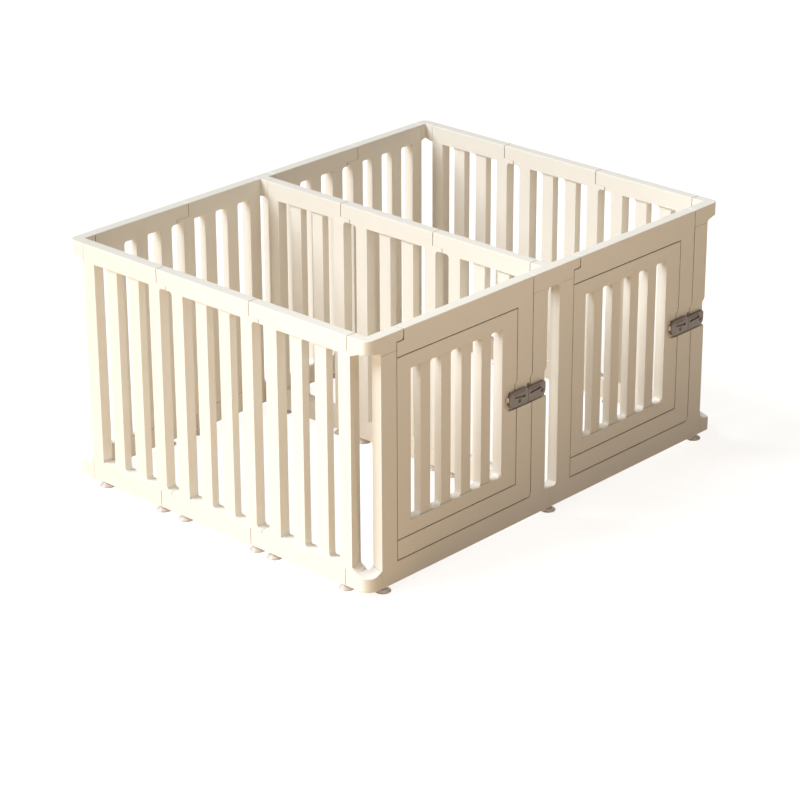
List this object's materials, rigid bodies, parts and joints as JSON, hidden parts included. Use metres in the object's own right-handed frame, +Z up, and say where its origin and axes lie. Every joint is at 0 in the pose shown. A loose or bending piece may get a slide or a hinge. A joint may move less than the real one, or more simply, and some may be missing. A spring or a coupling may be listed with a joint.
{
  "type": "pet playpen",
  "caption": "Free-standing slatted plastic pet playpen with a divider and, on one side, gates that each hold a smaller leaf, lift latches and suction feet.",
  "frame": {"origin": "on the floor under the middle of the pen's plan", "axes": "+X along the gated front from the first gate to the second, +Y from the gated front to the plain back wall, +Z up"},
  "size_m": [1.2418, 0.9728, 0.614],
  "materials": {
    "wall_plastic": "satin cream moulded plastic",
    "latch_plastic": "satin grey-brown moulded plastic",
    "pin_steel": "drawn steel rod",
    "screw_steel": "blackened steel",
    "foot_vinyl": "soft translucent vinyl"
  },
  "bodies": {
    "pen_frame": {"door_frame_a": "wall_plastic", "hinge_pins_a": "pin_steel", "door_frame_b": "wall_plastic", "hinge_pins_b": "pin_steel", "corner_top_front_left": "wall_plastic", "corner_base_front_left": "wall_plastic", "corner_top_front_right": "wall_plastic", "corner_base_front_right": "wall_plastic", "corner_top_back_left": "wall_plastic", "corner_base_back_left": "wall_plastic", "corner_top_back_right": "wall_plastic", "corner_base_back_right": "wall_plastic", "tee_top_front": "wall_plastic", "tee_base_front": "wall_plastic", "tee_top_back": "wall_plastic", "tee_base_back": "wall_plastic", "left_panel_1": "wall_plastic", "left_panel_2": "wall_plastic", "left_panel_3": "wall_plastic", "divider_panel_1": "wall_plastic", "divider_panel_2": "wall_plastic", "divider_panel_3": "wall_plastic", "right_panel_1": "wall_plastic", "right_panel_2": "wall_plastic", "right_panel_3": "wall_plastic", "back_panel_1": "wall_plastic", "back_panel_2": "wall_plastic", "back_panel_3": "wall_plastic", "back_panel_4": "wall_plastic", "suction_feet_left": "foot_vinyl", "suction_feet_divider": "foot_vinyl", "suction_feet_right": "foot_vinyl", "suction_feet_front": "foot_vinyl", "suction_feet_back": "foot_vinyl"},
    "gate_a": {"gate_a": "wall_plastic"},
    "leaf_a": {"leaf_a": "wall_plastic"},
    "leaf_latch_a": {"leaf_latch_a": "latch_plastic", "leaf_latch_screw_a": "screw_steel"},
    "gate_latch_a": {"gate_latch_a": "latch_plastic", "gate_latch_screw_a": "screw_steel"},
    "gate_b": {"gate_b": "wall_plastic"},
    "leaf_b": {"leaf_b": "wall_plastic"},
    "leaf_latch_b": {"leaf_latch_b": "latch_plastic", "leaf_latch_screw_b": "screw_steel"},
    "gate_latch_b": {"gate_latch_b": "latch_plastic", "gate_latch_screw_b": "screw_steel"}
  },
  "joints": [
    {"name": "gate_a_swing", "type": "hinge", "parent": "pen_frame", "child": "gate_a", "pos_m": [-0.5065, -0.4765, 0.31], "axis": [0, 0, -1], "range_deg": [0, 90]},
    {"name": "leaf_a_swing", "type": "hinge", "parent": "gate_a", "child": "leaf_a", "pos_m": [-0.5065, -0.4765, 0.31], "axis": [0, 0, 1], "range_deg": [0, 90]},
    {"name": "leaf_latch_a_lift", "type": "slide", "parent": "gate_a", "child": "leaf_latch_a", "axis": [0, 0, 1], "range_m": [0, 0.012]},
    {"name": "gate_latch_a_lift", "type": "slide", "parent": "gate_a", "child": "gate_latch_a", "axis": [0, 0, 1], "range_m": [0, 0.012]},
    {"name": "gate_b_swing", "type": "hinge", "parent": "pen_frame", "child": "gate_b", "pos_m": [0.0885, -0.4765, 0.31], "axis": [0, 0, -1], "range_deg": [0, 90]},
    {"name": "leaf_b_swing", "type": "hinge", "parent": "gate_b", "child": "leaf_b", "pos_m": [0.0885, -0.4765, 0.31], "axis": [0, 0, 1], "range_deg": [0, 90]},
    {"name": "leaf_latch_b_lift", "type": "slide", "parent": "gate_b", "child": "leaf_latch_b", "axis": [0, 0, 1], "range_m": [0, 0.012]},
    {"name": "gate_latch_b_lift", "type": "slide", "parent": "gate_b", "child": "gate_latch_b", "axis": [0, 0, 1], "range_m": [0, 0.012]}
  ]
}
